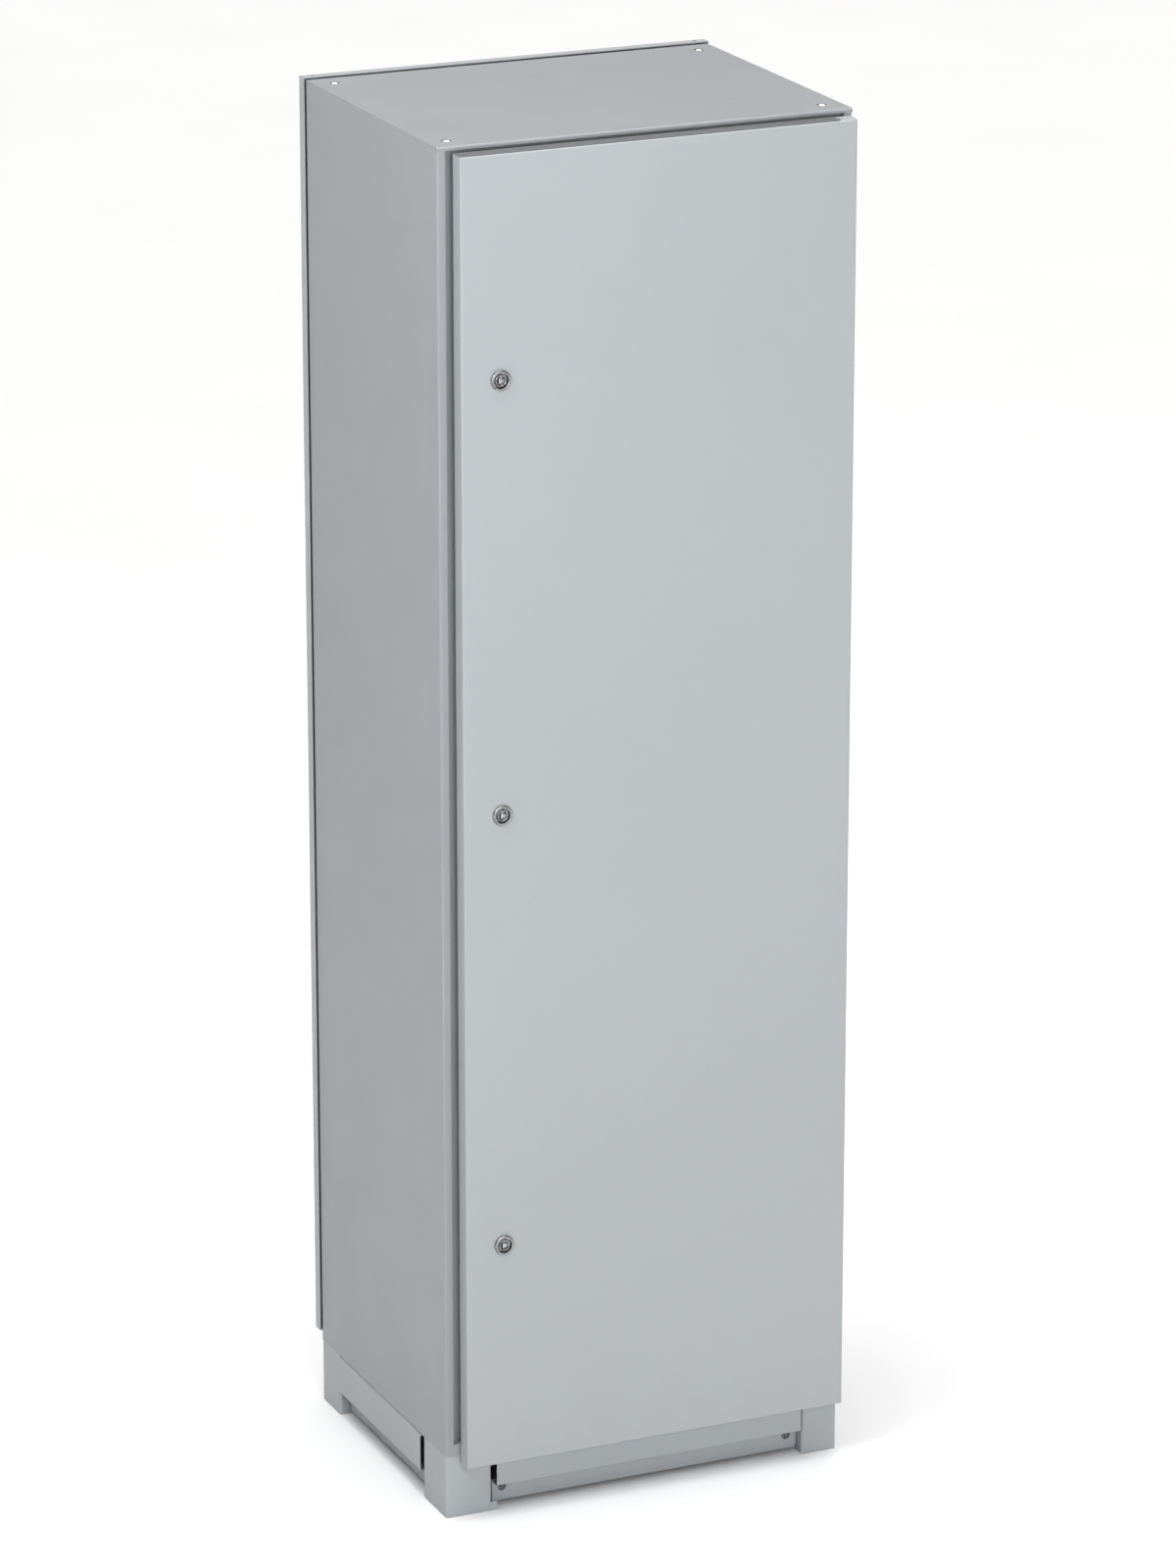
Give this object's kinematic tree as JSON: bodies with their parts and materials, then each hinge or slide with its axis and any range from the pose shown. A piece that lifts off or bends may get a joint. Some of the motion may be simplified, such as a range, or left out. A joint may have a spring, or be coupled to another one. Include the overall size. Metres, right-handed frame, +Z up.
{
  "type": "switchboard cabinet",
  "caption": "Tall floor-standing sheet-steel switchboard cabinet on a plinth, with a hinged front door, quarter-turn locks, a mounting plate inside and gland plates below.",
  "frame": {"origin": "centre of the overall box at floor level", "axes": "+Z up, the door faces -Y, its hinges are on the +X side"},
  "size_m": [0.656, 0.558, 2.103],
  "materials": {
    "body_paint": "light grey textured powder coat",
    "door_paint": "light grey textured powder coat",
    "rear_paint": "light grey textured powder coat",
    "plinth_paint": "light grey textured powder coat",
    "galvanised_steel": "zinc-coated sheet",
    "zinc_fastener": "zinc-plated, semi-bright",
    "cast_metal": "die-cast zinc, satin",
    "lock_metal": "die-cast, dull nickel plate",
    "lock_core_metal": "die-cast, satin nickel plate",
    "plug_plastic": "grey moulded plastic",
    "seal_rubber": "soft black rubber",
    "pocket_plastic": "moulded grey plastic"
  },
  "bodies": {
    "cabinet": {"left_side_panel": "body_paint", "right_side_panel": "body_paint", "roof_panel": "body_paint", "base_frame": "body_paint", "front_sealing_frame": "body_paint", "rear_sealing_frame": "body_paint", "rear_panel": "rear_paint", "plinth_leg_front_left": "plinth_paint", "plinth_leg_front_right": "plinth_paint", "plinth_leg_rear_left": "plinth_paint", "plinth_leg_rear_right": "plinth_paint", "plinth_panel_front": "plinth_paint", "plinth_panel_rear": "plinth_paint", "plinth_panel_left": "plinth_paint", "plinth_panel_right": "plinth_paint", "mounting_plate": "galvanised_steel", "plate_brackets": "galvanised_steel", "front_left_rail": "galvanised_steel", "front_right_rail": "galvanised_steel", "rear_left_rail": "galvanised_steel", "rear_right_rail": "galvanised_steel", "gland_plate_front": "galvanised_steel", "gland_plate_rear": "galvanised_steel", "lock_keepers": "galvanised_steel", "rear_panel_screws": "zinc_fastener", "rear_panel_nuts": "zinc_fastener", "gland_screws": "zinc_fastener", "bracket_screws": "zinc_fastener", "plate_bolts": "zinc_fastener", "plate_nuts": "zinc_fastener", "hinge_bracket_screws": "zinc_fastener", "keeper_screws": "zinc_fastener", "plinth_bolts": "zinc_fastener", "plinth_nuts": "zinc_fastener", "hinge_pins": "zinc_fastener", "lifting_nuts": "zinc_fastener", "hinge_brackets": "cast_metal", "plinth_studs": "plug_plastic", "rear_gasket": "seal_rubber", "gland_gasket": "seal_rubber"},
    "door": {"door_panel": "door_paint", "door_gasket": "seal_rubber", "door_stiffener_left": "galvanised_steel", "door_stiffener_right": "galvanised_steel", "document_pocket": "pocket_plastic", "hinge_leaves": "cast_metal", "hinge_leaf_nuts": "zinc_fastener", "lock_nuts": "cast_metal", "lock_housing_top": "lock_metal", "lock_housing_middle": "lock_metal", "lock_housing_bottom": "lock_metal"},
    "lock_top": {"lock_core_top": "lock_core_metal", "lock_cam_top": "zinc_fastener", "lock_cam_screw_top": "zinc_fastener"},
    "lock_middle": {"lock_core_middle": "lock_core_metal", "lock_cam_middle": "zinc_fastener", "lock_cam_screw_middle": "zinc_fastener"},
    "lock_bottom": {"lock_core_bottom": "lock_core_metal", "lock_cam_bottom": "zinc_fastener", "lock_cam_screw_bottom": "zinc_fastener"}
  },
  "joints": [
    {"name": "door_hinge", "type": "hinge", "parent": "cabinet", "child": "door", "pos_m": [0.311, -0.265, 1.089], "axis": [0, 0, 1], "range_deg": [0, 120]},
    {"name": "lock_top_turn", "type": "hinge", "parent": "door", "child": "lock_top", "pos_m": [-0.242, -0.2527, 1.76167], "axis": [0, 1, 0], "range_deg": [0, 90]},
    {"name": "lock_middle_turn", "type": "hinge", "parent": "door", "child": "lock_middle", "pos_m": [-0.242, -0.2527, 1.11102], "axis": [0, 1, 0], "range_deg": [0, 90]},
    {"name": "lock_bottom_turn", "type": "hinge", "parent": "door", "child": "lock_bottom", "pos_m": [-0.242, -0.2527, 0.44035], "axis": [0, 1, 0], "range_deg": [0, 90]}
  ]
}
